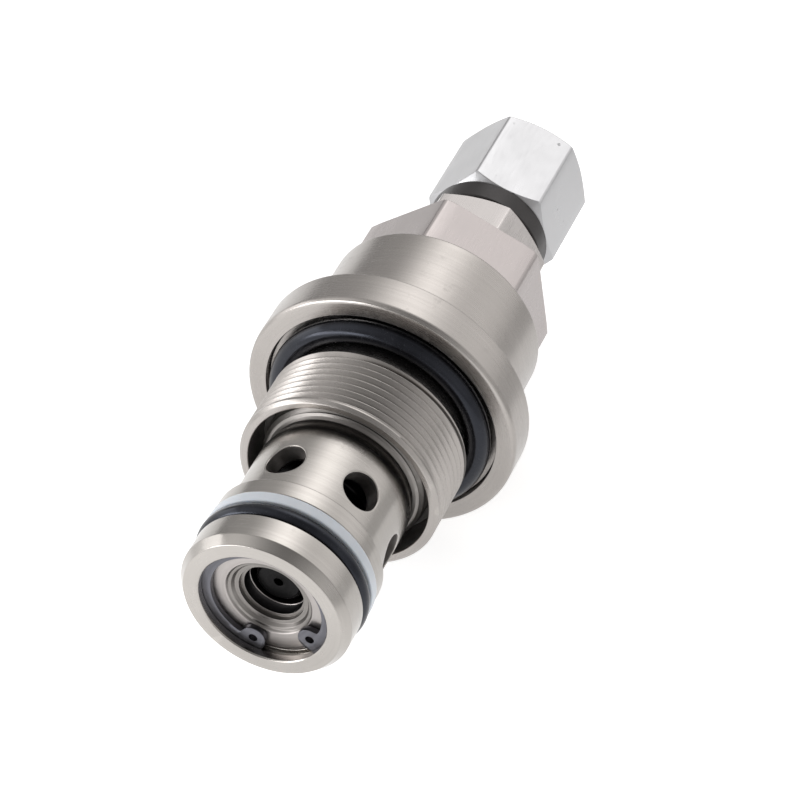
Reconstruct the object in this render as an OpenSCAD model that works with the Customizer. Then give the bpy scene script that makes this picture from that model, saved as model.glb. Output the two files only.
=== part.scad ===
// Screw-in hydraulic relief cartridge, lying along +X from nose to cap.
// X = 0 is the seating face under the flange. All sizes in millimetres.

/* [Threaded body] */
// Major diameter of the mounting thread
thread_d = 36; // [35.6:0.1:36.4]
// Pitch of the mounting thread
thread_pitch = 1.5; // [1.4:0.05:1.5]
// Distance from the nose face to the flange seating face
reach = 49.5; // [49.5:0.5:52]
// Outside diameter of the flange
flange_d = 49.1; // [47:0.1:51]
// Axial length of the flange
flange_len = 7.1; // [6:0.1:8]
// Diameter of the round barrel behind the flange
barrel_d = 39; // [38.2:0.1:41]
// Axial length of the round barrel
barrel_len = 18; // [16:0.5:18]
// Width across the flats of the body hexagon
body_flats = 32; // [30:0.5:32]
// Axial length of the body hexagon
body_hex_len = 11.9; // [11:0.1:13]
// Bore of the mouth at the front of the collar
mouth_d = 32.6; // [32:0.1:33]

/* [Nose sleeve] */
// Diameter of the two sealing lands
land_d = 30; // [29.5:0.1:30.5]
// Diameter of the waist with the cross holes
neck_d = 27.4; // [26.5:0.1:28]
// Number of cross holes
cross_holes = 6; // [4:1:8]
// Diameter of each cross hole
cross_hole_d = 6.8; // [5:0.1:7.5]
// Diameter of the guide bore for the main poppet
guide_d = 21; // [20.8:0.1:21]

/* [Nose seat] */
// Diameter of the dark port through the seat ring
port_d = 10.2; // [9.4:0.1:10.6]
// Angle between the two eyes of the retaining ring
eye_angle = 70; // [50:1:80]

/* [Adjuster] */
// Major diameter of the adjusting screw
screw_d = 14; // [13.6:0.1:14.2]
// Thread pitch of the adjusting screw
screw_pitch = 1.5; // [1:0.25:1.5]
// Width across the flats of the socket in the screw
socket_flats = 6; // [5:0.5:8]
// Width across the flats of the lock nut
nut_flats = 22; // [21:0.5:22]
// Thickness of the lock nut
nut_len = 9; // [8:0.5:9]
// Outside diameter of the black ring under the cap
cap_seal_d = 22.4; // [20:0.1:23]
// Width across the flats of the cap nut
cap_flats = 22; // [21:0.5:23]
// Overall length of the cap nut
cap_len = 19.2; // [18:0.1:21]

/* [Hidden] */
$fn = 96;
run = 0.05;
thread_r = thread_d / 2;
thread_depth = thread_pitch * 0.6134;
body_rear = reach + flange_len + barrel_len + body_hex_len;
washer_len = 1.5;
nut_front = body_rear + washer_len;
seal_front = nut_front + nut_len;
seal_len = 4.2;
cap_front = seal_front + seal_len;
land_r = land_d / 2;
neck_r = neck_d / 2;
guide_r = guide_d / 2;
port_r = port_d / 2;
screw_r = screw_d / 2;
sleeve_rear = 46;
seat_rear = 8.7;
chamber_r = 8;
body_hex_turn = 52.3;
nut_turn = 27.4;
cap_turn = 46.4;
hole_turn = 39.1;
clip_turn = 340.5;

// lays a shape built along +Z from the nose face down along +X
module laid() {
    translate([-reach, 0, 0])
        rotate([0, 90, 0])
            children();
}

// round ring of round wire, centred on the axis
module round_ring(mid_r, wire_r, z) {
    translate([0, 0, z])
        rotate_extrude()
            translate([mid_r, 0])
                circle(r = wire_r);
}

// flat-sided ring with small broken edges
module flat_ring(inner, outer, z, len, edge) {
    translate([0, 0, z])
        rotate_extrude()
            polygon([[inner, 0], [outer - edge, 0], [outer, edge], [outer, len - edge],
                     [outer - edge, len], [inner, len]]);
}

// hexagonal bar whose corners are turned off by cones at both ends
module turned_hex(flats, z, len, front, rear) {
    corner = flats / sqrt(3);
    intersection() {
        translate([0, 0, z])
            cylinder(r = corner, h = len, $fn = 6);
        translate([0, 0, z])
            rotate_extrude()
                polygon([[0, 0], [corner + 0.1 - front, 0], [corner + 0.1, front * 0.6],
                         [corner + 0.1, len - rear * 0.6], [corner + 0.1 - rear, len], [0, len]]);
    }
}

// side view of one thread: points of its teeth, from the front to the back
function teeth(crest, depth, pitch, z, count) = [
    for (i = [0 : count - 1])
        for (k = [0 : 3])
            [k == 1 || k == 2 ? crest : crest - depth, z + pitch * (i + [0.06, 0.4, 0.52, 0.86][k])]
];

// helical wire, squared off at its two ends
module coil(mid_r, wire_r, z, len, turns) {
    steps = 18;
    sides = 8;
    count = turns * steps;
    rise = (len - 2 * wire_r - 0.04) / count;
    points = [
        for (i = [0 : count])
            for (j = [0 : sides - 1])
                let (a = 360 * i / steps, b = 360 * (j + 0.5) / sides, r = mid_r + wire_r * cos(b))
                    [r * cos(a), r * sin(a), z + 0.02 + wire_r + rise * i + wire_r * sin(b)]
    ];
    skin = [
        for (i = [0 : count - 1])
            for (j = [0 : sides - 1])
                for (half = [0, 1])
                    let (k = (j + 1) % sides, p = i * sides, q = (i + 1) * sides)
                        half == 0 ? [p + j, q + k, p + k] : [p + j, q + j, q + k]
    ];
    front_end = [for (j = [0 : sides - 1]) j];
    back_end = [for (j = [0 : sides - 1]) count * sides + sides - 1 - j];
    polyhedron(points = points, faces = concat(skin, [front_end], [back_end]));
}

// collar, flange, barrel and hexagon turned from one bar
module plug_body() {
    flange_rear = reach + flange_len;
    barrel_rear = flange_rear + barrel_len;
    first = 43.95 - 8 * thread_pitch;
    color([0.72, 0.70, 0.68])
        laid()
            difference() {
                union() {
                    rotate_extrude()
                        polygon(concat(
                            [[12.5, 31], [thread_r - 0.6, 31], [thread_r, 31.45], [thread_r, 31.65]],
                            teeth(thread_r, thread_depth, thread_pitch, first, 8),
                            [[16.2, 44.1], [16.2, reach + 1.7], [21.1, reach + 1.7], [21.1, reach],
                             [flange_d / 2 - 1.1, reach], [flange_d / 2 - 0.35, reach + 0.3],
                             [flange_d / 2, reach + 1], [flange_d / 2, flange_rear - 0.35],
                             [flange_d / 2 - 0.35, flange_rear], [barrel_d / 2, flange_rear],
                             [barrel_d / 2, barrel_rear - 0.35], [barrel_d / 2 - 0.35, barrel_rear],
                             [12.5, barrel_rear]]));
                    rotate([0, 0, body_hex_turn])
                        turned_hex(body_flats, barrel_rear - 1, body_hex_len + 1, 0, 0.45);
                    translate([0, 0, 54])
                        cylinder(r = 13, h = barrel_rear - 54.5);
                }
                translate([0, 0, 30])
                    cylinder(r = mouth_d / 2, h = 8);
                translate([0, 0, 37])
                    cylinder(r = 14.9, h = sleeve_rear - 37);
                translate([0, 0, 45])
                    cylinder(r = 12, h = 9);
                translate([0, 0, 53])
                    cylinder(r = chamber_r, h = body_rear - 8.5 - 53);
                translate([0, 0, body_rear - 9])
                    cylinder(r = screw_r + run, h = 10);
            }
}

// hollow nose with two lands, seal groove, cross holes and rear thread
module sleeve() {
    color([0.78, 0.74, 0.71])
        laid()
            difference() {
                rotate_extrude()
                    polygon(concat(
                        [[guide_r, seat_rear], [11.2, seat_rear], [11.2, 2.7], [12, 2.7], [12, 1.5],
                         [11.2, 1.5], [11.2, 0.25], [11.45, 0], [land_r - 1.2, 0],
                         [land_r, 1.6], [land_r, 6.2], [land_r - 0.2, 6.4],
                         [12.5, 6.4], [12.5, 11.6], [land_r - 0.15, 11.6],
                         [land_r, 11.75], [land_r, 14.75], [land_r - 0.15, 14.9], [neck_r, 14.9],
                         [neck_r, 28.5], [neck_r - 0.2, 30.2], [13, 31.6], [13, 32.2], [13.6, 32.6],
                         [14.1, 32.75], [13.8, 33.15], [14.55, 33.6], [14.75, 33.75], [14.2, 34.2]],
                        teeth(14.88, 0.62, 1, 34.3, 11),
                        [[14.6, 45.7], [14.6, sleeve_rear], [guide_r, sleeve_rear]]));
                for (i = [0 : cross_holes - 1])
                    rotate([0, 0, hole_turn + i * 360 / cross_holes])
                        translate([9, 0, 21.3])
                            rotate([0, 90, 0])
                                cylinder(d = cross_hole_d, h = 6);
            }
}

// stepped inlet ring that carries the main seat
module seat_ring() {
    color([0.80, 0.79, 0.78])
        laid()
            rotate_extrude()
                polygon([[7.65, 2.75], [10.9, 2.75], [11.15, 3], [11.15, seat_rear], [port_r + 0.5, seat_rear],
                         [port_r, seat_rear - 0.5], [port_r, 4.8], [port_r + 0.65, 4.8],
                         [port_r + 0.65, 3.9], [port_r + 1.35, 3.9], [port_r + 1.75, 3.2],
                         [7.3, 3.2]]);
}

// open retaining ring with an eye at each end
module circlip() {
    half = eye_angle / 2;
    reach_out = 30;
    color([0.20, 0.22, 0.27])
        laid()
            rotate([0, 0, clip_turn])
                translate([0, 0, 1.55])
                    difference() {
                        union() {
                            difference() {
                                cylinder(r = 11.9, h = 1.1);
                                translate([0, 0, -1])
                                    cylinder(r = 9.7, h = 4);
                                translate([0, 0, -1])
                                    linear_extrude(height = 4)
                                        polygon([[0, 0],
                                                 [reach_out * cos(half - 2), -reach_out * sin(half - 2)],
                                                 [reach_out * cos(half - 2), reach_out * sin(half - 2)]]);
                            }
                            for (s = [-1, 1])
                                rotate([0, 0, s * half])
                                    translate([9.3, 0, 0])
                                        cylinder(r = 2.1, h = 1.1);
                        }
                        for (s = [-1, 1])
                            rotate([0, 0, s * half])
                                translate([9.3, 0, -1])
                                    cylinder(r = 0.8, h = 4);
                    }
}

// black ring in the nose groove
module nose_oring() {
    color([0.05, 0.05, 0.06])
        laid()
            round_ring(13.93, 1.42, 8);
}

// pale ring that backs the nose seal
module nose_backup_ring() {
    color([0.86, 0.89, 0.93])
        laid()
            flat_ring(12.52, land_r + 0.2, 9.5, 2.05, 0.2);
}

// thick black ring half sunk in the flange face
module flange_oring() {
    color([0.05, 0.05, 0.06])
        laid()
            round_ring(18.22, 2, reach - 0.32);
}

// hollow poppet that closes on the seat ring
module main_poppet() {
    color([0.55, 0.55, 0.57])
        laid()
            rotate_extrude()
                polygon([[0.8, 6.7], [port_r - 1.53, 6.7], [8, 11.13], [8, 25], [guide_r - run, 26],
                         [guide_r - run, 30], [guide_r - 0.5, 30], [guide_r - 0.5, 30.8],
                         [guide_r - run, 30.8], [guide_r - run, 36], [guide_r - 0.5, 36],
                         [guide_r - 0.5, 36.8], [guide_r - run, 36.8], [guide_r - run, 41.1],
                         [guide_r - 0.35, 41.4], [7, 41.4], [7, 14], [2, 14],
                         [2, 9], [0.8, 9]]);
}

// damping orifice fixed in the poppet's nose
module orifice_plug() {
    color([0.50, 0.50, 0.52])
        laid()
            rotate_extrude()
                polygon([[0.5, 9], [2, 9], [2, 14], [3.2, 14], [3.2, 15], [0.5, 15]]);
}

// spring that holds the main poppet shut
module main_spring() {
    color([0.45, 0.46, 0.48])
        laid()
            coil(5.4, 0.75, 14, sleeve_rear - 14, 8);
}

// disc with the pilot orifice, clamped behind the sleeve
module pilot_seat() {
    color([0.60, 0.60, 0.62])
        laid()
            rotate_extrude()
                polygon([[1.5, sleeve_rear], [11.7, sleeve_rear], [11.95, 46.25], [11.95, 48.8], [10.3, 48.8],
                         [10.3, 51.2], [11.95, 51.2], [11.95, 53.75], [11.7, 54], [2, 54],
                         [1.5, 53.5]]);
}

// small black ring round the pilot seat
module pilot_seat_oring() {
    color([0.05, 0.05, 0.06])
        laid()
            round_ring(11.14, 0.83, 50);
}

// cone that opens when the pilot spring is overcome
module pilot_poppet() {
    color([0.62, 0.62, 0.64])
        laid()
            rotate_extrude()
                polygon([[0, 52.1], [0.08, 52.1], [4.2, 56.22], [4.2, 58], [2.2, 58], [2.2, 61.5],
                         [1.9, 61.8], [0, 61.8]]);
}

// spring that sets the relief pressure
module pilot_spring() {
    color([0.45, 0.46, 0.48])
        laid()
            coil(3.3, 0.55, 58, body_rear - 15.5 - 58, 6);
}

// sliding seat between the pilot spring and the screw
module spring_seat() {
    z = body_rear - 15.5;
    color([0.60, 0.60, 0.62])
        laid()
            rotate_extrude()
                polygon([[0, z - 4], [2.1, z - 4], [2.4, z - 3.7], [2.4, z], [chamber_r - 0.3, z],
                         [chamber_r - run, z + 0.25], [chamber_r - run, z + 1.8],
                         [6.3, z + 1.8], [6.3, z + 4.2], [chamber_r - run, z + 4.2],
                         [chamber_r - run, z + 5.7], [chamber_r - 0.3, z + 6], [0, z + 6]]);
}

// black ring that seals the sliding seat
module spring_seat_oring() {
    color([0.05, 0.05, 0.06])
        laid()
            round_ring(7.14, 0.82, body_rear - 12.5);
}

// grub screw with a hexagon socket
module adjusting_screw() {
    z = body_rear - 9.5;
    rear = cap_front + 11.8;
    thread_start = cap_front - 3.6;
    color([0.50, 0.50, 0.52])
        laid()
            difference() {
                rotate_extrude()
                    polygon(concat(
                        [[0, z], [screw_r - 1, z], [screw_r, z + 1], [screw_r, thread_start]],
                        teeth(screw_r, 0.7, screw_pitch, thread_start, 9),
                        [[screw_r - 0.7, rear - 0.6], [screw_r - 1.2, rear], [0, rear]]));
                translate([0, 0, rear - 7])
                    cylinder(r = socket_flats / sqrt(3), h = 8, $fn = 6);
            }
}

// thin ring under the lock nut
module nut_washer() {
    color([0.66, 0.66, 0.67])
        laid()
            flat_ring(screw_r + 0.12, 10.9, body_rear, washer_len, 0.15);
}

// hexagon nut that locks the screw
module lock_nut() {
    color([0.80, 0.79, 0.78])
        laid()
            difference() {
                rotate([0, 0, nut_turn])
                    turned_hex(nut_flats, nut_front, nut_len, 1.6, 1.6);
                translate([0, 0, nut_front - 1])
                    cylinder(r = screw_r + run, h = nut_len + 2);
            }
}

// thick black ring between the lock nut and the cap
module cap_seal() {
    color([0.06, 0.06, 0.07])
        laid()
            flat_ring(screw_r + 0.1, cap_seal_d / 2, seal_front, seal_len, 0.35);
}

// closed hexagon cap over the end of the screw
module cap_nut() {
    color([0.88, 0.88, 0.88])
        laid()
            difference() {
                rotate([0, 0, cap_turn])
                    turned_hex(cap_flats, cap_front, cap_len, 1.9, 1.9);
                translate([0, 0, cap_front - 1])
                    cylinder(r = screw_r + run, h = 9);
                translate([0, 0, cap_front + 7])
                    cylinder(r = screw_r + 0.6, h = cap_len - 10.5);
            }
}

plug_body();
sleeve();
seat_ring();
circlip();
nose_oring();
nose_backup_ring();
flange_oring();
main_poppet();
orifice_plug();
main_spring();
pilot_seat();
pilot_seat_oring();
pilot_poppet();
pilot_spring();
spring_seat();
spring_seat_oring();
adjusting_screw();
nut_washer();
lock_nut();
cap_seal();
cap_nut();
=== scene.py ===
import math

import bmesh
import bpy
import numpy as np
from mathutils import Matrix, Vector


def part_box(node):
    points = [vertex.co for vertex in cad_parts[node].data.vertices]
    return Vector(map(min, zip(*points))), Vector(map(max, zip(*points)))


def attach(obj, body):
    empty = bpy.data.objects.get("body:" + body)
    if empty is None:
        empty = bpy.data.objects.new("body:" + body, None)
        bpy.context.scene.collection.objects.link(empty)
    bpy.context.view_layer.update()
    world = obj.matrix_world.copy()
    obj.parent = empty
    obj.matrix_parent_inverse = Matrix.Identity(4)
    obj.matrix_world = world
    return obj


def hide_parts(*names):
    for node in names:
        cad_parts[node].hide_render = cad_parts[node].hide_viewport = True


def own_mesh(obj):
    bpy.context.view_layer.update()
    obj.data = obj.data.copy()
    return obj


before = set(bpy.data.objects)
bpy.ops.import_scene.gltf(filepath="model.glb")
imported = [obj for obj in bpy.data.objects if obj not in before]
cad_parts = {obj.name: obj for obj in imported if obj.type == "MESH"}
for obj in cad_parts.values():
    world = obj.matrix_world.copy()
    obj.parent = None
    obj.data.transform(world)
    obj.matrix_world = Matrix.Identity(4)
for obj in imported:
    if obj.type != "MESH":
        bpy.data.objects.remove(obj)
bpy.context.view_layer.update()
MM = 0.001
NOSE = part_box("sleeve")[0].x
TURN = 2 * math.pi

# nominal sizes in millimetres, the same as the CAD's
THREAD_R = 18.0
THREAD_DEPTH = 0.93
THREAD_PITCH = 1.5
MOUTH_R = 16.3
UNDERCUT_R = 16.2
FLANGE_LEN = 7.1
BARREL_R = 19.5
BODY_HEX_LEN = 11.9
BODY_FLATS = 32.0
CHAMBER_R = 8.0
LAND_R = 15.0
NECK_R = 13.7
GUIDE_R = 10.5
HOLE_R = 3.4
HOLE_Z = 21.3
HOLE_COUNT = 6
PORT_R = 5.06
SCREW_R = 6.98
SCREW_DEPTH = 0.72
SOCKET_FLATS = 6.0
NUT_FLATS = 22.0
CAP_FLATS = 22.0

# turns about the axis in degrees; AXIS_TURN goes from the CAD's zero to this script's
AXIS_TURN = -90.0
BODY_HEX_TURN = 52.3
NUT_TURN = 27.4
CAP_TURN = 46.4
HOLE_TURN = 39.1
CLIP_TURN = 340.5


def at(z):
    """Place along the axis, z millimetres behind the nose face."""
    return NOSE + z * MM


def z_of(node, end):
    """Where a CAD piece starts (0) or stops (1), in millimetres behind the nose face."""
    return (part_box(node)[end].x - NOSE) / MM


# ---------------------------------------------------------------- mesh helpers
def soften(points, closed=True, segs=3):
    """Rounds the corners of a (z, r[, radius]) outline. A radius of 0 keeps a corner sharp."""
    out = []
    n = len(points)
    for i, p in enumerate(points):
        z, r = p[0], p[1]
        rad = p[2] if len(p) > 2 else 0.1
        if rad == 0 or (not closed and i in (0, n - 1)):
            out.append((z, r))
            continue
        a, b = points[i - 1], points[(i + 1) % n]
        la, lb = math.hypot(a[0] - z, a[1] - r), math.hypot(b[0] - z, b[1] - r)
        d = min(rad, 0.45 * la, 0.45 * lb)
        pa = (z + (a[0] - z) / la * d, r + (a[1] - r) / la * d)
        pb = (z + (b[0] - z) / lb * d, r + (b[1] - r) / lb * d)
        for k in range(segs + 1):
            t = k / segs
            u = 1 - t
            out.append((u * u * pa[0] + 2 * u * t * z + t * t * pb[0],
                        u * u * pa[1] + 2 * u * t * r + t * t * pb[1]))
    return out


def point(z, r, a):
    """Place at z millimetres behind the nose face, r millimetres off the axis, at angle a."""
    return (at(z), r * MM * math.cos(a), r * MM * math.sin(a))


def painted(number, part):
    """The same part, with the number of the material it takes."""
    return (*part, number)


def turn(profile, n=192, phase=0.0, closed=True):
    """Vertices and faces of a turned shape with the given (z, r) outline."""
    rows = len(profile)
    verts, faces = [], []
    for j in range(n):
        a = phase + TURN * j / n
        verts += [point(z, r, a) for z, r in profile]
    for j in range(n):
        k = (j + 1) % n
        for i in range(rows if closed else rows - 1):
            m = (i + 1) % rows
            faces.append((j * rows + i, j * rows + m, k * rows + m, k * rows + i))
    return verts, faces


def build(name, parts, merge=2e-6):
    """One mesh object from lists of (vertices, faces, material number or none), with doubled points joined."""
    bm = bmesh.new()
    for verts, faces, *number in parts:
        made = [bm.verts.new(v) for v in verts]
        for f in faces:
            ring = []
            for i in f:
                if made[i] not in ring:
                    ring.append(made[i])
            if len(ring) > 2:
                try:
                    bm.faces.new(ring).material_index = number[0] if number else 0
                except ValueError:
                    pass
    bmesh.ops.remove_doubles(bm, verts=bm.verts, dist=merge)
    bmesh.ops.dissolve_degenerate(bm, edges=bm.edges, dist=merge)
    bmesh.ops.recalc_face_normals(bm, faces=bm.faces)
    for f in bm.faces:
        f.smooth = True
    mesh = bpy.data.meshes.new(name)
    bm.to_mesh(mesh)
    bm.free()
    obj = bpy.data.objects.new(name, mesh)
    bpy.context.collection.objects.link(obj)
    w = obj.modifiers.new("normals", "WEIGHTED_NORMAL")
    w.keep_sharp = True
    w.weight = 80
    return obj


def hexagon(flats, outline, turned, cols=10, corner=0.992):
    """Columns of a hexagonal bar. outline(r) gives the closed (z, r) outline of the column whose side lies at
    radius r."""
    apothem = flats / 2
    rc = apothem / math.cos(math.pi / 6) * corner
    lim = math.acos(apothem / rc)
    angles = list(np.linspace(-lim, lim, cols)) + [lim + (math.pi / 6 - lim) * 0.5, math.pi / 6]
    verts, faces = [], []
    for k in range(6):
        for a in angles:
            r = rc if abs(a) > lim else min(apothem / math.cos(a), rc)
            col = soften(outline(r))
            rows = len(col)
            base = math.radians(turned + 30 + 60 * k)
            verts += [point(z, q, base + a) for z, q in col]
    n = 6 * len(angles)
    for j in range(n):
        m = (j + 1) % n
        for i in range(rows):
            p = (i + 1) % rows
            faces.append((j * rows + i, j * rows + p, m * rows + p, m * rows + i))
    return verts, faces


def nut_outline(z0, z1, turned, bore):
    """Outline of a nut whose corners are turned off beyond the radius turned."""
    def outline(r):
        cut = max(0.02, (r - turned) * 0.5)
        edge = min(turned, r - 0.05)
        return [(z0 + 0.7, bore, 0.05), (z0, bore + 0.7, 0.05), (z0, edge, 0.12), (z0 + cut, r, 0.12),
                (z1 - cut, r, 0.12), (z1, edge, 0.12), (z1, bore + 0.7, 0.05), (z1 - 0.7, bore, 0.05)]
    return outline


# one thread tooth: (share of the pitch, share of the depth), and the numbers of its rows that are groove bottom
TOOTH = [(0.02, 0.0), (0.09, 0.05), (0.35, 0.9), (0.42, 1.0), (0.5, 1.0), (0.57, 0.9), (0.83, 0.05), (0.9, 0.0)]
ROOT = (0, 6, 7)


def tooth(u):
    """Height of the thread at share u of its pitch, from 0 at the root to 1 at the crest."""
    u = u % 1.0
    pts = [(TOOTH[-1][0] - 1, 0.0)] + TOOTH + [(TOOTH[0][0] + 1, 0.0)]
    for (a, fa), (b, fb) in zip(pts, pts[1:]):
        if a <= u <= b:
            return fa + (fb - fa) * (u - a) / (b - a)
    return 0.0


def thread(crest, depth, pitch, za, zb, n=240, phase=0.0):
    """A right-handed thread between za and zb, whose rows follow the helix. Its groove fades in and out near the
    ends. Gives the crests and flanks, then the groove bottoms."""
    fade = 0.35
    rows = []
    count = int(math.ceil((zb - za) / pitch)) + 1
    for i in range(-2, count):
        rows += [za + pitch * (i + u) for u, _ in TOOTH]
    per = len(TOOTH)

    def radius(z, a):
        cut = min(1.0, max(0.0, (z - za) / fade), max(0.0, (zb - z) / fade))
        return crest - depth * cut * (1 - tooth((z - za) / pitch - a / TURN))

    verts, faces, roots = [], [], []
    nr = len(rows)
    for j in range(n):
        a = TURN * j / n
        for z in rows:
            zz = min(max(z + pitch * a / TURN, za), zb)
            verts.append(point(zz, radius(zz, a), phase + a))
    for j in range(n):
        last = j == n - 1
        for i in range(nr - 1):
            p, q = (j + 1) * nr + i, (j + 1) * nr + i + 1
            if last:
                p, q = min(i + per, nr - 1), min(i + 1 + per, nr - 1)
            (roots if i % per in ROOT else faces).append((j * nr + i, j * nr + i + 1, q, p))
    return (verts, faces), (verts, roots, 1)


def hole_band(z0, z1, outer, inner, hole, zc, first, count, per=32, side=20, rings=9):
    """A tube wall between z0 and z1 with evenly spaced round cross holes, gridded round each hole.
    Gives the parts of the wall, then those of the drilled holes."""
    half = math.pi / count
    border = [(-half + 2 * half * i / per, z1) for i in range(per)]
    border += [(half, z1 + (z0 - z1) * i / side) for i in range(side)]
    border += [(half - 2 * half * i / per, z0) for i in range(per)]
    border += [(-half, z0 + (z1 - z0) * i / side) for i in range(side)]
    m = len(border)
    wall_parts, hole_parts = [], []

    def strip(loops):
        faces = [(i * m + j, i * m + (j + 1) % m, (i + 1) * m + (j + 1) % m, (i + 1) * m + j)
                 for i in range(len(loops) - 1) for j in range(m)]
        return [v for loop in loops for v in loop], faces

    for c in range(count):
        base = first + 2 * half * c

        def circle(wall, radius):
            """Points of the hole's circle where it meets a cylinder of radius wall."""
            out = []
            for u, z in border:
                phi = math.atan2(u * outer, z - zc)
                out.append((math.asin(radius * math.sin(phi) / wall), zc + radius * math.cos(phi)))
            return out

        for wall, edge in ((outer, 0.16), (inner, 0.0)):
            rim_pts = circle(wall, hole + edge)
            loops = []
            for k in range(rings + 1):
                t = (k / rings) ** 1.25
                loops.append([point(hz + (z - hz) * t, wall, base + hu + (u - hu) * t)
                              for (u, z), (hu, hz) in zip(border, rim_pts)])
            wall_parts.append(strip(loops))
        edges = [(outer, 0.16), (outer - 0.03, 0.09), (outer - 0.09, 0.03), (outer - 0.18, 0.0)]
        depths = edges[3:] + [(outer + (inner - outer) * k / 8, 0.0) for k in range(1, 9)]
        for parts, steps in ((wall_parts, edges), (hole_parts, depths)):
            parts.append(strip([[point(hz, wall, base + hu) for hu, hz in circle(wall, hole + edge)]
                                for wall, edge in steps]))
    return wall_parts, hole_parts


def tube_along(centres, radius, sides=14):
    """A round wire through the given centres."""
    pts = [Vector(c) for c in centres]
    verts, faces = [], []
    for i, p in enumerate(pts):
        d = (pts[min(i + 1, len(pts) - 1)] - pts[max(i - 1, 0)]).normalized()
        out = Vector((0, p.y, p.z)).normalized()
        side = d.cross(out).normalized()
        out = side.cross(d).normalized()
        for k in range(sides):
            a = TURN * k / sides
            verts.append(tuple(p + out * radius * math.cos(a) + side * radius * math.sin(a)))
    for i in range(len(pts) - 1):
        for k in range(sides):
            m = (k + 1) % sides
            faces.append((i * sides + k, i * sides + m, (i + 1) * sides + m, (i + 1) * sides + k))
    faces.append(tuple(range(sides)))
    faces.append(tuple(reversed(range((len(pts) - 1) * sides, len(pts) * sides))))
    return verts, faces


def coil(name, mid, wire, za, zb, turns, parted=None):
    """A compression spring with one closed turn at each end. With parted, a number of turns from the front, it is
    made in two lengths: gives the front one, the back one and the place along the axis where they part."""
    steps, dead, closed_pitch = 40, 1.0, 2.06
    n = int(turns * steps)
    centres = []
    low, high = za + wire + 0.03, zb - wire - 0.03
    for i in range(n + 1):
        t = i / steps
        live = min(max(t - dead, 0), turns - 2 * dead) / (turns - 2 * dead)
        shut = (min(t, dead) + max(t - (turns - dead), 0)) * closed_pitch * wire
        z = low + (high - low - 2 * dead * closed_pitch * wire) * live + shut
        centres.append(point(z, mid, TURN * t))
    if parted is None:
        return build(name, [tube_along(centres, wire * MM)])
    k = int(parted * steps)
    front_part = build(name + "_front", [tube_along(centres[:k + 1], wire * MM)])
    back_part = build(name, [tube_along(centres[k:], wire * MM)])
    return front_part, back_part, centres[k][0]


# ---------------------------------------------------------------- material helpers
class Nodes:
    """A material with one principled shader, and short ways to add nodes to it."""

    def __init__(self, name):
        self.mat = bpy.data.materials.new(name)
        self.mat.use_nodes = True
        self.tree = self.mat.node_tree
        self.tree.nodes.clear()
        self.out = self.add("ShaderNodeOutputMaterial")
        self.bsdf = self.add("ShaderNodeBsdfPrincipled")
        self.link(self.bsdf.outputs[0], self.out.inputs[0])

    def add(self, kind, **values):
        n = self.tree.nodes.new(kind)
        for k, v in values.items():
            setattr(n, k, v)
        return n

    def link(self, a, b):
        self.tree.links.new(a, b)

    def math(self, op, a, b=None, clamp=False):
        n = self.add("ShaderNodeMath", operation=op, use_clamp=clamp)
        for i, v in enumerate((a, b)):
            if v is None:
                continue
            if isinstance(v, (int, float)):
                n.inputs[i].default_value = v
            else:
                self.link(v, n.inputs[i])
        return n.outputs[0]

    def noise(self, vector, scale, detail, rough):
        n = self.add("ShaderNodeTexNoise")
        n.inputs["Scale"].default_value = scale
        n.inputs["Detail"].default_value = detail
        n.inputs["Roughness"].default_value = rough
        self.link(vector, n.inputs["Vector"])
        return n.outputs["Fac"]

    def remap(self, value, a, b, c, d):
        n = self.add("ShaderNodeMapRange")
        for i, v in enumerate((a, b, c, d)):
            n.inputs[i + 1].default_value = v
        self.link(value, n.inputs[0])
        return n.outputs[0]

    def mix(self, fac, a, b):
        n = self.add("ShaderNodeMix", data_type="RGBA")
        self.link(fac, n.inputs[0])
        for i, v in ((6, a), (7, b)):
            if isinstance(v, tuple):
                n.inputs[i].default_value = (*v, 1)
            else:
                self.link(v, n.inputs[i])
        return n.outputs[2]

    def bump(self, height, distance, strength, normal=None):
        n = self.add("ShaderNodeBump")
        n.inputs["Distance"].default_value = distance
        n.inputs["Strength"].default_value = strength
        self.link(height, n.inputs["Height"])
        if normal is not None:
            self.link(normal, n.inputs["Normal"])
        return n.outputs[0]

    def place(self):
        """Object position, and a vector that only changes across turning marks."""
        tex = self.add("ShaderNodeTexCoord")
        sep = self.add("ShaderNodeSeparateXYZ")
        self.link(tex.outputs["Object"], sep.inputs[0])
        y, z = sep.outputs[1], sep.outputs[2]
        radial = self.math("SQRT", self.math("ADD", self.math("MULTIPLY", y, y), self.math("MULTIPLY", z, z)))
        angle = self.math("ARCTAN2", z, y)
        rings = self.add("ShaderNodeCombineXYZ")
        self.link(sep.outputs[0], rings.inputs[0])
        self.link(radial, rings.inputs[1])
        drift = self.math("MULTIPLY", self.math("SINE", angle), 0.0002)
        self.link(drift, rings.inputs[2])
        return tex.outputs["Object"], rings.outputs[0]

    def pits(self, pos, scale, near, far, patches, low, high):
        """Small round pits in some patches, 0 to 1."""
        v = self.add("ShaderNodeTexVoronoi", feature="F1")
        v.inputs["Scale"].default_value = scale
        self.link(pos, v.inputs["Vector"])
        rare = self.remap(self.noise(pos, patches, 2, 0.5), low, high, 0, 1)
        return self.math("MULTIPLY", self.remap(v.outputs["Distance"], near, far, 1, 0), rare)


def edge_highlight_groove_shade(m, low=0.52, high=0.60):
    """How much an edge sticks out, 0 to 1, used for painted edge highlights; with low above high, how deep a groove
    lies, used for painted groove shade.
    """
    g = m.add("ShaderNodeNewGeometry")
    return m.remap(g.outputs["Pointiness"], low, high, 0.0, 1.0)


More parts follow.
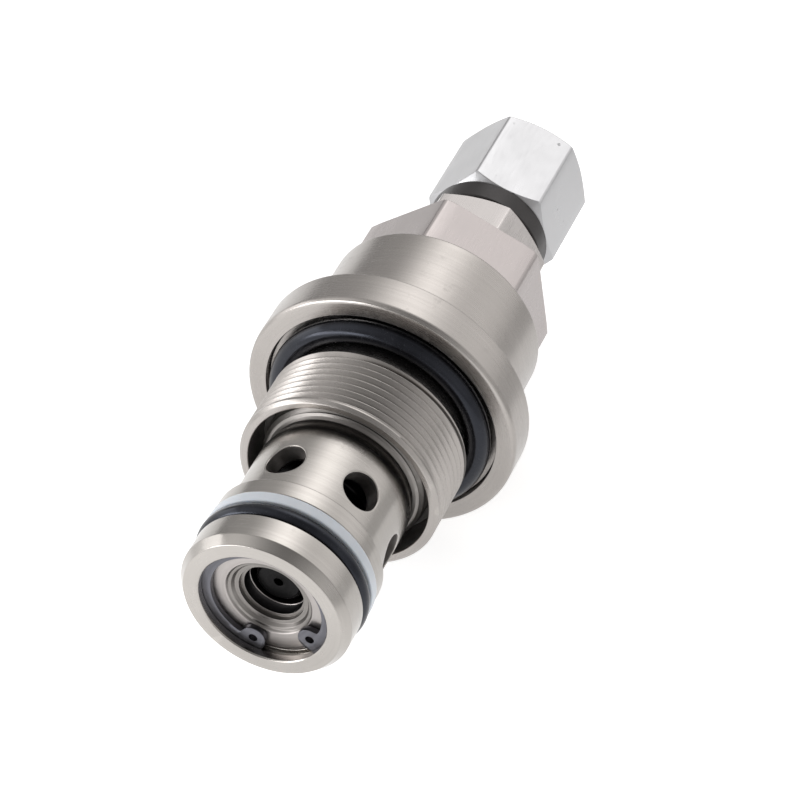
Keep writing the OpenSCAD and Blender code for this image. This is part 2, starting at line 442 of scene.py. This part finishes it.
def turned_metal(name, light, dark, rough, ring=0.5, aniso=0.45, marks=1.0, painted_groove_shade=0.0):
    """Lathe-turned metal: fine rings across the axis, slow tone changes, edges lightened as a painted highlight,
    grooves darkened as painted shade.
    """
    m = Nodes(name)
    pos, rings = m.place()
    spread = 0.10
    fine = m.noise(rings, 14000, 2, 0.7)
    broad = m.noise(rings, 1600, 3, 0.6)
    cloud = m.noise(pos, 90, 4, 0.6)
    smear = m.noise(pos, 420, 3, 0.55)
    tone = m.math("ADD", m.math("MULTIPLY", broad, 0.45), m.math("MULTIPLY", cloud, 0.55))
    col = m.mix(m.remap(tone, 0.33, 0.67, 0, 1), dark, light)
    # painted highlight: edges that stick out are lightened towards a brighter copy of the metal colour
    col = m.mix(m.math("MULTIPLY", edge_highlight_groove_shade(m), 0.35), col, tuple(min(1, c * 1.18) for c in light))
    # painted shade: groove bottoms are darkened towards a fifth of the dark tone
    if painted_groove_shade:
        col = m.mix(m.math("MULTIPLY", edge_highlight_groove_shade(m, 0.49, 0.42), painted_groove_shade), col, tuple(c * 0.2 for c in dark))
    m.link(col, m.bsdf.inputs["Base Color"])
    m.bsdf.inputs["Metallic"].default_value = 1.0
    r = m.math("ADD", m.remap(fine, 0.3, 0.7, -spread * ring, spread * ring),
               m.remap(cloud, 0.3, 0.7, -spread * 0.6, spread * 0.6))
    r = m.math("ADD", r, rough, clamp=True)
    r = m.math("ADD", r, m.remap(smear, 0.62, 0.75, 0.0, 0.08), clamp=True)
    m.link(r, m.bsdf.inputs["Roughness"])
    m.bsdf.inputs["Anisotropic"].default_value = aniso
    m.bsdf.inputs["Anisotropic Rotation"].default_value = 0.25
    t = m.add("ShaderNodeTangent", direction_type="RADIAL", axis="X")
    m.link(t.outputs[0], m.bsdf.inputs["Tangent"])
    height = m.math("ADD", m.math("MULTIPLY", fine, 0.5), m.math("MULTIPLY", broad, 0.5))
    n = m.bump(height, 0.000012 * marks, 0.6)
    n = m.bump(smear, 0.000010, 0.35, n)
    m.link(n, m.bsdf.inputs["Normal"])
    return m.mat


def milled_metal(name, light, dark, rough, pits):
    """Milled or drawn flats: faint straight marks along the bar, soft clouding, small pits and nicks."""
    m = Nodes(name)
    pos, _ = m.place()
    mapping = m.add("ShaderNodeMapping")
    mapping.inputs["Scale"].default_value = (0.06, 1.0, 1.0)
    m.link(pos, mapping.inputs["Vector"])
    drawn = m.noise(mapping.outputs[0], 5200, 3, 0.6)
    cloud = m.noise(pos, 130, 4, 0.6)
    fine = m.noise(pos, 2600, 3, 0.6)
    tone = m.math("ADD", m.math("MULTIPLY", drawn, 0.3), m.math("MULTIPLY", cloud, 0.7))
    col = m.mix(m.remap(tone, 0.35, 0.65, 0, 1), dark, light)
    # painted highlight: edges that stick out are lightened towards a brighter copy of the metal colour
    col = m.mix(m.math("MULTIPLY", edge_highlight_groove_shade(m), 0.4), col, tuple(min(1, c * 1.15) for c in light))
    pit = m.pits(pos, 330, 0.07, 0.13, 160, 0.55, 0.62)
    col = m.mix(m.math("MULTIPLY", pit, 0.55 * pits), col, tuple(c * 0.5 for c in dark))
    m.link(col, m.bsdf.inputs["Base Color"])
    m.bsdf.inputs["Metallic"].default_value = 1.0
    r = m.math("ADD", m.remap(cloud, 0.3, 0.7, -0.06, 0.06), m.remap(drawn, 0.3, 0.7, -0.05, 0.05))
    m.link(m.math("ADD", r, rough, clamp=True), m.bsdf.inputs["Roughness"])
    n = m.bump(drawn, 0.000010, 0.35)
    n = m.bump(fine, 0.000004, 0.06, n)
    n = m.bump(m.math("SUBTRACT", 1.0, pit), 0.00008, 0.8 * pits, n)
    m.link(n, m.bsdf.inputs["Normal"])
    return m.mat


def rubber(name, base=(0.005, 0.005, 0.006), rough=0.20, tint=(0.76, 0.82, 1.0)):
    """Moulded black rubber with an oily gloss, a little dust and a slightly uneven surface."""
    m = Nodes(name)
    pos, _ = m.place()
    cloud = m.noise(pos, 260, 4, 0.6)
    grain = m.noise(pos, 3200, 3, 0.65)
    dust = m.remap(m.noise(pos, 1500, 3, 0.6), 0.62, 0.72, 0, 1)
    col = m.mix(m.remap(cloud, 0.35, 0.65, 0, 1), base, tuple(c * 1.9 for c in base))
    col = m.mix(m.math("MULTIPLY", dust, 0.06 * 0.35), col, (0.45, 0.45, 0.45))
    m.link(col, m.bsdf.inputs["Base Color"])
    r = m.math("ADD", m.remap(cloud, 0.3, 0.7, -0.06, 0.10), rough)
    r = m.math("ADD", r, m.math("MULTIPLY", dust, 0.25), clamp=True)
    m.link(r, m.bsdf.inputs["Roughness"])
    m.bsdf.inputs["IOR"].default_value = 1.42
    m.bsdf.inputs["Specular Tint"].default_value = (*tint, 1)
    n = m.bump(grain, 0.000012, 0.5)
    n = m.bump(cloud, 0.00005, 0.35, n)
    m.link(n, m.bsdf.inputs["Normal"])
    return m.mat


def waxy(name, base, rough):
    """Smooth fluoroplastic: cool white, slightly translucent, faint skiving rings."""
    m = Nodes(name)
    pos, rings = m.place()
    cloud = m.noise(pos, 200, 3, 0.6)
    skive = m.noise(rings, 6000, 2, 0.6)
    col = m.mix(m.remap(cloud, 0.35, 0.65, 0, 1), base, tuple(c * 0.93 for c in base))
    m.link(col, m.bsdf.inputs["Base Color"])
    m.link(m.math("ADD", m.remap(skive, 0.3, 0.7, -0.08, 0.08), rough), m.bsdf.inputs["Roughness"])
    m.bsdf.inputs["Subsurface Weight"].default_value = 0.25
    m.bsdf.inputs["Subsurface Radius"].default_value = (0.6, 0.8, 1.0)
    m.bsdf.inputs["Subsurface Scale"].default_value = 0.0006
    m.link(m.bump(skive, 0.00001, 0.5), m.bsdf.inputs["Normal"])
    return m.mat


MATS = {
    "body_steel": turned_metal("body_steel", (0.385, 0.362, 0.345), (0.335, 0.315, 0.30), 0.27, marks=0.6, painted_groove_shade=0.5),
    # dark copy of the steel for the collar bore and the thread's groove bottoms: painted shade
    "painted_shade_bore_steel": turned_metal("painted_shade_bore_steel", (0.17, 0.16, 0.155), (0.11, 0.105, 0.10), 0.40, marks=1.5),
    # near-black copy of the steel for the seat ring's port bore: painted shade
    "painted_shade_port_bore": turned_metal("painted_shade_port_bore", (0.06, 0.058, 0.06), (0.03, 0.029, 0.03), 0.35, marks=1.0),
    "body_flats": milled_metal("body_flats", (0.40, 0.368, 0.362), (0.35, 0.32, 0.315), 0.30, pits=0.25),
    "sleeve_steel": turned_metal("sleeve_steel", (0.40, 0.38, 0.36), (0.34, 0.322, 0.304), 0.22, marks=0.9),
    "drilled_steel": turned_metal("drilled_steel", (0.36, 0.34, 0.33), (0.25, 0.235, 0.225), 0.45, ring=0.8,
                                  aniso=0.0, marks=2.0),
    # darker copy of the steel for the sleeve inside the collar mouth and the seat ring's funnel: painted shade
    "painted_shade_dull_steel": turned_metal("painted_shade_dull_steel", (0.25, 0.235, 0.225), (0.18, 0.17, 0.16), 0.36, marks=1.2),
    "seat_steel": turned_metal("seat_steel", (0.38, 0.355, 0.345), (0.29, 0.272, 0.262), 0.33, marks=1.2),
    "spring_steel_dark": turned_metal("spring_steel_dark", (0.15, 0.15, 0.168), (0.08, 0.08, 0.09), 0.36, marks=0.6,
                                      aniso=0.1),
    "rubber_black": rubber("rubber_black"),
    "rubber_matt": rubber("rubber_matt", base=(0.012, 0.0105, 0.0105), rough=0.34, tint=(1.0, 0.96, 0.96)),
    "ptfe": waxy("ptfe", (0.55, 0.585, 0.63), 0.38),
    # near-black steel for the poppet and the other inner pieces: painted shade, so the port shows dark
    "hard_steel": turned_metal("hard_steel", (0.014, 0.0135, 0.014), (0.008, 0.008, 0.008), 0.30, marks=0.8),
    "spring_wire": turned_metal("spring_wire", (0.36, 0.36, 0.38), (0.24, 0.24, 0.26), 0.34, aniso=0.1),
    "screw_steel": turned_metal("screw_steel", (0.40, 0.40, 0.41), (0.30, 0.30, 0.31), 0.32, painted_groove_shade=0.7),
    "nut_steel": milled_metal("nut_steel", (0.54, 0.51, 0.50), (0.48, 0.455, 0.445), 0.30, pits=0.15),
    "cap_metal": milled_metal("cap_metal", (0.50, 0.50, 0.51), (0.44, 0.44, 0.45), 0.34, pits=1.0),
}


def finish_piece(obj, node, body, slot, mats=None):
    """Gives a piece its materials (slot names the material when mats is not given), puts it on the body it rides on
    and hides the CAD piece it takes the place of (if any).
    """
    for m in mats or [slot]:
        obj.data.materials.append(MATS[m])
    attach(obj, body)
    if node:
        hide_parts(node)


# ---------------------------------------------------------------- threaded body
rim = z_of("plug_body", 0)
rear = z_of("plug_body", 1)
seat = -NOSE / MM
flange_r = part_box("plug_body")[1].y / MM
flange_rear = seat + FLANGE_LEN
barrel_rear = rear - BODY_HEX_LEN
zb = rim + 13.1
ta, tb = rim + 0.62, zb - 0.3
start = math.radians(160)
bore = soften([(54, CHAMBER_R, 0), (54, 12), (46, 12), (46, 14.9), (38, 14.9), (38, MOUTH_R),
               (rim + 0.3, MOUTH_R, 0)], closed=False)
inner_rim = soften([(rim + 0.3, MOUTH_R, 0), (rim + 0.12, MOUTH_R, 0.04), (rim, 16.42, 0.08), (rim, 17.35, 0.12),
                    (rim + 0.5, 17.98, 0.15), (ta, THREAD_R, 0)], closed=False)
outer = soften([(tb, THREAD_R, 0), (tb + 0.1, 17.98, 0.05), (zb + 0.5, UNDERCUT_R, 0.3),
                (seat + 1.7, UNDERCUT_R, 0.4), (seat + 1.7, 21.1, 0.3), (seat, 21.1, 0.15), (seat, flange_r, 1.0),
                (flange_rear, flange_r, 0.3), (flange_rear, BARREL_R, 0.25), (barrel_rear, BARREL_R, 0.32),
                (barrel_rear, CHAMBER_R), (54, CHAMBER_R, 0)], closed=False)
crests, roots = thread(THREAD_R, THREAD_DEPTH, THREAD_PITCH, ta, tb, phase=start)
# slot 1, the thread's groove bottoms and the bore, takes the dark steel: painted shade
body = build("body_turned", [
    turn(inner_rim, 240, start, closed=False), crests, roots, turn(outer, 240, start, closed=False),
    painted(1, turn(bore, 240, start, closed=False))])
finish_piece(body, "plug_body", "body", "body_steel", ["body_steel", "painted_shade_bore_steel"])


def body_hex(r):
    z0, z1, turned = barrel_rear - 0.6, rear, 17.9
    return [(z0, CHAMBER_R, 0.05), (z0, r, 0.05), (z1 - max(0.03, (r - turned) * 0.6), r, 0.14),
            (z1, min(r - 0.05, turned), 0.1), (z1, 7.75, 0.05), (z1 - 0.7, 7.05, 0.05), (78, 7.05, 0.05),
            (78, CHAMBER_R, 0.05)]


hexed = build("body_hexagon", [hexagon(BODY_FLATS, body_hex, BODY_HEX_TURN + AXIS_TURN, corner=0.985)])
finish_piece(hexed, None, "body", "body_steel", ["body_flats"])

# ---------------------------------------------------------------- nose sleeve
hole_first = math.radians(HOLE_TURN + AXIS_TURN)
z_band0, z_band1 = 14.95, 27.8
front_path = soften([(z_band0, GUIDE_R, 0), (8.7, GUIDE_R), (8.7, 11.2), (2.72, 11.2), (2.72, 12.0, 0.05),
                     (1.48, 12.0, 0.05), (1.48, 11.2, 0.06), (0.2, 11.2, 0.05), (0, 11.42, 0.06), (0, 13.85, 0.16),
                     (1.62, LAND_R, 0.2), (6.2, LAND_R, 0.12), (6.4, 14.8, 0.05), (6.4, 12.5, 0.2), (11.6, 12.5, 0.2),
                     (11.6, 14.85, 0.05), (11.75, LAND_R, 0.08), (14.75, LAND_R, 0.08), (14.92, 14.85, 0.04),
                     (14.92, 13.72, 0.03), (z_band0, NECK_R, 0)], closed=False)
tail = [(z_band1, NECK_R, 0), (29.3, 13.66, 0.8), (30.8, 13.3, 0.6), (31.7, 13.0, 0.0)]
back_path = [(31.7, 13.0, 0), (32.1, 13.02, 0.1), (32.55, 13.45, 0.05),
             (32.75, 14.0, 0.06), (33.1, 13.75, 0.06), (33.55, 14.5, 0.06), (33.75, 14.68, 0.05), (34.2, 14.2, 0.06)]
for i in range(11):
    back_path += [(34.36 + i, 14.26, 0.06), (34.70 + i, 14.86, 0.05), (34.82 + i, 14.86, 0.05),
                  (35.16 + i, 14.26, 0.06)]
back_path += [(45.7, 14.6, 0.05), (46, 14.5, 0.05), (46, 10.6, 0.05), (45.8, GUIDE_R, 0.05), (z_band1, GUIDE_R, 0)]
phase = hole_first - math.pi / HOLE_COUNT
walls, holes = hole_band(z_band0, z_band1, NECK_R, GUIDE_R, HOLE_R, HOLE_Z, hole_first, HOLE_COUNT)
# slot 2, the sleeve's part inside the collar mouth, takes the darker steel: painted shade
sleeve = build("sleeve_turned", [
    turn(front_path, 192, phase, closed=False), turn(soften(tail, closed=False), 192, phase, closed=False), *walls,
    *[painted(1, part) for part in holes],
    painted(2, turn(soften(back_path, closed=False, segs=2), 192, phase, closed=False))])
finish_piece(sleeve, "sleeve", "body", "sleeve_steel", ["sleeve_steel", "drilled_steel", "painted_shade_dull_steel"])

# ---------------------------------------------------------------- nose pieces
funnel = soften([(4.9, 5.2, 0), (4.8, 5.2, 0.05), (4.8, 5.75, 0.06), (3.9, 5.75, 0.08), (3.9, 6.45, 0.06),
                 (3.25, 6.85, 0.1), (3.2, 7.3, 0.06), (2.9, 7.53, 0)], closed=False)
front = soften([(2.9, 7.53, 0), (2.75, 7.65, 0.12), (2.75, 10.9, 0.1), (3.0, 11.15, 0.05), (8.7, 11.15, 0.05),
                (8.7, 5.6, 0.05), (8.2, PORT_R, 0)], closed=False)
lit_edge = soften([(7.1, PORT_R, 0), (7.02, 5.08, 0.03), (6.98, 5.2, 0)], closed=False)
# slot 1, the funnel, and slot 2, the port bore, are darker copies of the steel: painted shade
ring = build("seat_ring_turned", [
    turn(front, 160, closed=False), turn(lit_edge, 160, closed=False), painted(1, turn(funnel, 160, closed=False)),
    painted(2, turn([(8.2, PORT_R), (7.1, PORT_R)], 160, closed=False)),
    painted(2, turn([(6.98, 5.2), (4.9, 5.2)], 160, closed=False))])
finish_piece(ring, "seat_ring", "body", "seat_steel", ["seat_steel", "painted_shade_dull_steel", "painted_shade_port_bore"])


def clip_ring(za, zb):
    """Open retaining ring: a flat band that swells into a rounded lug at each end."""
    half, lug, mid, out = math.radians(35), 2.1, 9.3, 11.88
    tip = half - math.asin(lug / mid) + 1e-4
    centre = math.radians(CLIP_TURN + AXIS_TURN)
    angles = [tip + (half - tip) * (1 - math.cos(math.pi / 2 * i / 16)) for i in range(17)]
    angles += list(np.linspace(half, half + math.radians(26), 26))[1:]
    angles += list(np.linspace(half + math.radians(26), math.pi, 60))[1:]
    angles += [TURN - a for a in reversed(angles[:-1])]
    verts, faces = [], []
    for a in angles:
        d = min(a, TURN - a) - half
        reach = lug * lug - (mid * math.sin(d)) ** 2 if abs(d) < 0.5 else -1
        near = mid * math.cos(d) - math.sqrt(max(reach, 0)) if abs(d) < 0.5 else 99
        far = mid * math.cos(d) + math.sqrt(max(reach, 0)) if abs(d) < 0.5 else 0
        band = 9.7
        if d > 0:
            h = max(0.0, 1 - abs(near - band) / 0.8) if reach > 0 else max(0.0, 1 - (d - 0.227) / 0.16)
            inner = (min(near, band) if reach > 0 else band) - 0.2 * h * h
            outer_r = out
        else:
            inner = near
            t = min(1.0, -d / (half - tip))
            outer_r = far + (out - far) * (1 - t) ** 0.5 if t < 1 else far
        inner = min(inner, outer_r - 0.02)
        e = min(0.1, (outer_r - inner) * 0.3)
        ring = [(za + e, inner), (za + e * 0.3, inner + e * 0.3), (za, inner + e), (za, outer_r - e),
                (za + e * 0.3, outer_r - e * 0.3), (za + e, outer_r), (zb - e, outer_r), (zb, outer_r - e),
                (zb, inner + e), (zb - e, inner)]
        verts += [point(z, r, centre + a) for z, r in ring]
    m, n = 10, len(angles)
    for j in range(n - 1):
        for i in range(m):
            k = (i + 1) % m
            faces.append((j * m + i, j * m + k, (j + 1) * m + k, (j + 1) * m + i))
    faces.append(tuple(range(m)))
    faces.append(tuple(reversed(range((n - 1) * m, n * m))))
    obj = build("circlip_stamped", [(verts, faces)], merge=1e-6)
    smooth = obj.modifiers["normals"]
    smooth.show_viewport = False
    for side in (-1, 1):
        eye = Vector(point((za + zb) / 2, mid, centre + side * half))
        bpy.ops.mesh.primitive_cylinder_add(vertices=40, radius=0.78 * MM, depth=4 * MM, location=eye,
                                            rotation=(0, math.pi / 2, 0))
        drill = bpy.context.object
        cut = obj.modifiers.new("eye", "BOOLEAN")
        cut.operation, cut.solver, cut.object = "DIFFERENCE", "EXACT", drill
        bpy.context.view_layer.update()
        obj.data = bpy.data.meshes.new_from_object(obj.evaluated_get(bpy.context.evaluated_depsgraph_get()))
        obj.modifiers.remove(cut)
        bpy.data.objects.remove(drill)
    smooth.show_viewport = True
    return obj


clip = clip_ring(1.55, 2.65)
finish_piece(clip, "circlip", "body", "spring_steel_dark")


def ring_rows(mid, wire, z, n=28):
    """Round section of a ring."""
    angles = [TURN * i / n for i in range(n)]
    return [(z + wire * math.sin(a), mid + wire * math.cos(a)) for a in angles]


oring = build("nose_oring_moulded", [turn(ring_rows(13.93, 1.42, 8.0), 160)])
finish_piece(oring, "nose_oring", "body", "rubber_black")
backup = build("nose_backup_cut", [turn(soften([
    (9.5, 12.52), (9.5, 15.2, 0.3), (11.55, 15.2, 0.25), (11.55, 12.52)]), 160)])
finish_piece(backup, "nose_backup_ring", "body", "ptfe")
big = build("flange_oring_moulded", [turn(ring_rows(18.22, 2.0, seat - 0.32, 36), 200)])
finish_piece(big, "flange_oring", "body", "rubber_black")

# ---------------------------------------------------------------- inner pieces
# the poppet and the inner pieces below take the near-black steel: painted shade in the port
poppet = build("main_poppet_ground", [turn(soften([
    (6.72, 0.8), (6.72, 3.57, 0.15), (11.1, 8.0, 0.2), (25, 8.0, 0.4), (26, 10.44, 0.3), (30, 10.44, 0.08),
    (30, 10.0, 0.05), (30.8, 10.0, 0.05), (30.8, 10.44, 0.08), (36, 10.44, 0.08), (36, 10.0, 0.05),
    (36.8, 10.0, 0.05), (36.8, 10.44, 0.08), (41.1, 10.44, 0.08), (41.38, 10.15, 0.08), (41.38, 7.0, 0.1),
    (14.02, 7.0, 0.2), (14.02, 2.02), (9.0, 2.02), (9.0, 0.8)]), 128)])
finish_piece(poppet, "main_poppet", "poppet", "hard_steel")
orifice = build("orifice_turned", [turn(soften([
    (9.02, 0.5), (9.02, 1.98), (14.02, 1.98), (14.04, 3.18), (14.98, 3.18), (14.98, 0.5)]), 64)])
finish_piece(orifice, "orifice_plug", "poppet", "hard_steel")
spring = coil("main_spring_coil", 5.4, 0.74, 14.05, 45.95, 9)
finish_piece(spring, "main_spring", "body", "spring_wire")
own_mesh(spring)
pilot_seat = build("pilot_seat_turned", [turn(soften([
    (46.02, 1.5), (46.02, 11.7), (46.25, 11.93), (48.8, 11.93), (48.8, 10.3), (51.2, 10.3), (51.2, 11.93),
    (53.75, 11.93), (53.98, 11.7), (53.98, 2.0, 0.05), (53.48, 1.5, 0.05)]), 128)])
finish_piece(pilot_seat, "pilot_seat", "body", "hard_steel")
small = build("pilot_seat_oring_moulded", [turn(ring_rows(11.14, 0.83, 50, 20), 96)])
finish_piece(small, "pilot_seat_oring", "body", "rubber_black")
cone = build("pilot_poppet_ground", [turn(soften([
    (52.12, 0, 0), (52.12, 0.07, 0.02), (56.22, 4.18, 0.1), (57.98, 4.18, 0.1), (57.98, 2.2, 0.1), (61.5, 2.18, 0.1),
    (61.78, 1.9, 0.1), (61.78, 0, 0)], closed=False), 64, closed=False)])
finish_piece(cone, "pilot_poppet", "pilot", "hard_steel")
pilot_end = z_of("spring_seat", 0) + 4
spring_front, spring_back, parting = coil("pilot_spring_coil", 3.3, 0.54, 58.05, pilot_end - 0.05, 7, parted=2.3)
finish_piece(spring_front, None, "body", "spring_wire")
finish_piece(spring_back, "pilot_spring", "body", "spring_wire")
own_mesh(spring_front)
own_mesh(spring_back)
z0 = pilot_end
slider = build("spring_seat_turned", [turn(soften([
    (z0 - 3.98, 0, 0), (z0 - 3.98, 2.1, 0.1), (z0 - 3.7, 2.38, 0.1), (z0, 2.4, 0.1), (z0, 7.7, 0.1),
    (z0 + 0.25, 7.94, 0.1), (z0 + 1.8, 7.94, 0.06), (z0 + 1.8, 6.3), (z0 + 4.2, 6.3), (z0 + 4.2, 7.94, 0.06),
    (z0 + 5.7, 7.94), (z0 + 5.98, 7.7), (z0 + 5.98, 0, 0)], closed=False), 96, closed=False)])
finish_piece(slider, "spring_seat", "adjuster_seat", "hard_steel")
small2 = build("spring_seat_oring_moulded", [turn(ring_rows(7.14, 0.82, z0 + 3, 20), 96)])
finish_piece(small2, "spring_seat_oring", "adjuster_seat", "rubber_black")

# ---------------------------------------------------------------- adjuster end
s0, s1 = z_of("adjusting_screw", 0), z_of("adjusting_screw", 1)
cap0, cap1 = z_of("cap_nut", 0), z_of("cap_nut", 1)
ta, tb = cap0 - 3.6, s1 - 0.9
head = soften([(tb, SCREW_R, 0), (s1 - 0.1, 6.2, 0.1), (s1, 6.05, 0.1), (s1, 4.1, 0.15), (s1 - 0.6, 3.46, 0.1),
               (s1 - 7.15, 3.46), (s1 - 7.15, 0, 0)], closed=False)
shank = soften([(s0 + 0.02, 0, 0), (s0 + 0.02, 6.0, 0.1), (s0 + 1, SCREW_R, 0.1), (ta, SCREW_R, 0)], closed=False)
crests, roots = thread(SCREW_R, SCREW_DEPTH, THREAD_PITCH, ta, tb, n=120)


def socket(r):
    """Outline of the thin liner that makes the hexagon socket in the screw's round bore."""
    return [(s1 - 0.58, r, 0.02), (s1 - 0.6, r + 0.55, 0.02), (s1 - 7.2, r + 0.5, 0.02), (s1 - 7.2, 0.02, 0.0),
            (s1 - 7.0, 0.02, 0.0), (s1 - 7.0, r, 0.1)]


screw = build("adjusting_screw_cut", [
    turn(shank, 120, closed=False), crests, roots[:2], turn(head, 120, closed=False),
    hexagon(SOCKET_FLATS, socket, AXIS_TURN, cols=4, corner=0.995)])
finish_piece(screw, "adjusting_screw", "adjuster", "screw_steel")
w0, w1 = z_of("nut_washer", 0), z_of("nut_washer", 1)
washer = build("nut_washer_cut", [turn(soften([
    (w0 + 0.01, 7.12), (w0 + 0.01, 10.9, 0.2), (w1 - 0.01, 10.9, 0.2), (w1 - 0.01, 7.12)]), 96)])
finish_piece(washer, "nut_washer", "nut_ring", "screw_steel")
n0, n1 = z_of("lock_nut", 0), z_of("lock_nut", 1)
nut = build("lock_nut_milled", [hexagon(NUT_FLATS, nut_outline(n0, n1, 10.75, 7.05), NUT_TURN + AXIS_TURN)])
finish_piece(nut, "lock_nut", "lock_nut", "nut_steel")
c0, c1 = z_of("cap_seal", 0), z_of("cap_seal", 1)
seal = build("cap_seal_moulded", [turn(soften([
    (c0 + 0.01, 7.12, 0.2), (c0 + 0.01, 11.2, 0.4), (c1 - 0.01, 11.2, 0.4), (c1 - 0.01, 7.12, 0.2)], segs=5), 160)])
finish_piece(seal, "cap_seal", "cap_ring", "rubber_black", ["rubber_matt"])


def cap_outline(r):
    turned = 10.8
    cut = max(0.02, (r - turned) * 0.62)
    edge = min(turned, r - 0.05)
    return [(cap0 + 0.8, 7.05, 0.05), (cap0, 7.8, 0.08), (cap0, edge, 0.15), (cap0 + cut, r, 0.16),
            (cap1 - cut, r, 0.16), (cap1, edge, 0.2), (cap1, 0.02, 0.0), (cap1 - 3.5, 0.02, 0.0),
            (cap1 - 3.5, 7.6, 0.1), (cap0 + 8, 7.6, 0.1), (cap0 + 8, 7.05, 0.05)]


cap = build("cap_nut_milled", [hexagon(CAP_FLATS, cap_outline, CAP_TURN + AXIS_TURN, corner=0.987)])
finish_piece(cap, "cap_nut", "cap", "cap_metal")

# ---------------------------------------------------------------- floor, light, camera
floor_z = -flange_r * MM
bpy.ops.mesh.primitive_plane_add(size=6, location=(0, 0, floor_z))
floor = bpy.context.object
floor.name = "floor"
fm = Nodes("floor_paper")
pos, _ = fm.place()
soft = fm.noise(pos, 40, 3, 0.5)
fm.link(fm.mix(fm.remap(soft, 0.3, 0.7, 0, 1), (0.84, 0.84, 0.84), (0.86, 0.86, 0.86)), fm.bsdf.inputs["Base Color"])
fm.bsdf.inputs["Roughness"].default_value = 0.9
fm.bsdf.inputs["Specular IOR Level"].default_value = 0.1
fm.bsdf.inputs["Emission Color"].default_value = (1, 1, 1, 1)
# the floor's own glow: a near patch, falling off to the right and to the left of the part
near = fm.add("ShaderNodeVectorMath", operation="DISTANCE")
fm.link(pos, near.inputs[0])
near.inputs[1].default_value = (-0.085, 0.025, 0)
across = fm.add("ShaderNodeVectorMath", operation="DOT_PRODUCT")
fm.link(pos, across.inputs[0])
across.inputs[1].default_value = (0.377, -0.926, 0)
lit = fm.math("MINIMUM", fm.remap(near.outputs["Value"], 0.02, 0.11, 0.95, 0.52),
              fm.remap(across.outputs["Value"], 0.073, 0.105, 1.2, 0.05))
lit = fm.math("MINIMUM", lit, fm.remap(across.outputs["Value"], -0.073, -0.115, 1.2, 0.30))
fm.link(lit, fm.bsdf.inputs["Emission Strength"])
floor.data.materials.append(fm.mat)


def heading(azimuth, elevation):
    """Direction from the part, with both angles in degrees."""
    a, e = math.radians(azimuth), math.radians(elevation)
    return Vector((math.cos(e) * math.cos(a), math.cos(e) * math.sin(a), math.sin(e)))


world = bpy.data.worlds.new("studio")
bpy.context.scene.world = world
world.use_nodes = True
wt = world.node_tree
back = wt.nodes["Background"]
tex = wt.nodes.new("ShaderNodeTexCoord")
total = None
# soft glow of the studio: direction (azimuth, elevation in degrees), tightness, strength
for az, el, tight, power in ((1, 49, 16.0, 2.4), (-46, 20, 6.0, 1.2), (-125, 10, 4.5, 0.8), (42, 20, 7.0, 0.36),
                             (112, 38, 5.0, 1.05)):
    dot = wt.nodes.new("ShaderNodeVectorMath")
    dot.operation = "DOT_PRODUCT"
    wt.links.new(tex.outputs["Generated"], dot.inputs[0])
    dot.inputs[1].default_value = heading(az, el)
    chain = dot.outputs["Value"]
    for op, value in (("SUBTRACT", 1.0), ("MULTIPLY", tight), ("EXPONENT", None), ("MULTIPLY", power)):
        n = wt.nodes.new("ShaderNodeMath")
        n.operation = op
        wt.links.new(chain, n.inputs[0])
        if value is not None:
            n.inputs[1].default_value = value
        chain = n.outputs[0]
    n = wt.nodes.new("ShaderNodeMath")
    n.operation = "ADD"
    wt.links.new(chain, n.inputs[0])
    if total is None:
        n.inputs[1].default_value = 0.13
    else:
        wt.links.new(total, n.inputs[1])
    total = n.outputs[0]
wt.links.new(total, back.inputs[1])
back.inputs[0].default_value = (1.0, 0.99, 0.98, 1)


def softbox(name, azimuth, elevation, distance, size, size_y, radiance):
    """A rectangular lamp that faces the origin from the given direction."""
    light = bpy.data.lights.new(name, "AREA")
    light.shape = "RECTANGLE"
    light.size = size
    light.size_y = size_y
    light.energy = radiance * math.pi * size * size_y
    obj = bpy.data.objects.new(name, light)
    bpy.context.collection.objects.link(obj)
    out = heading(azimuth, elevation)
    obj.location = out * distance
    obj.rotation_mode = "QUATERNION"
    obj.rotation_quaternion = out.to_track_quat("Z", "Y")


softbox("left", 95, 11, 0.62, 0.50, 0.26, 1.6)
softbox("low", 140, 7, 0.34, 0.24, 0.09, 6.0)

cam_data = bpy.data.cameras.new("camera")
cam = bpy.data.objects.new("camera", cam_data)
bpy.context.collection.objects.link(cam)
cam_data.sensor_width = 36
cam_data.lens = 148.42
cam_data.clip_start, cam_data.clip_end = 0.05, 20
look = Vector((0.67550, 0.27510, -0.68412)).normalized()
right = Vector((0.37717, -0.92614, 0)).normalized()
up = right.cross(look).normalized()
m = Matrix((right, up, -look)).transposed().to_4x4()
m.translation = Vector((NOSE, 0, 0)) + Vector((-0.32641, -0.15683, 0.38514))
cam.matrix_world = m
bpy.context.scene.camera = cam
bpy.context.scene.view_settings.view_transform = "Standard"
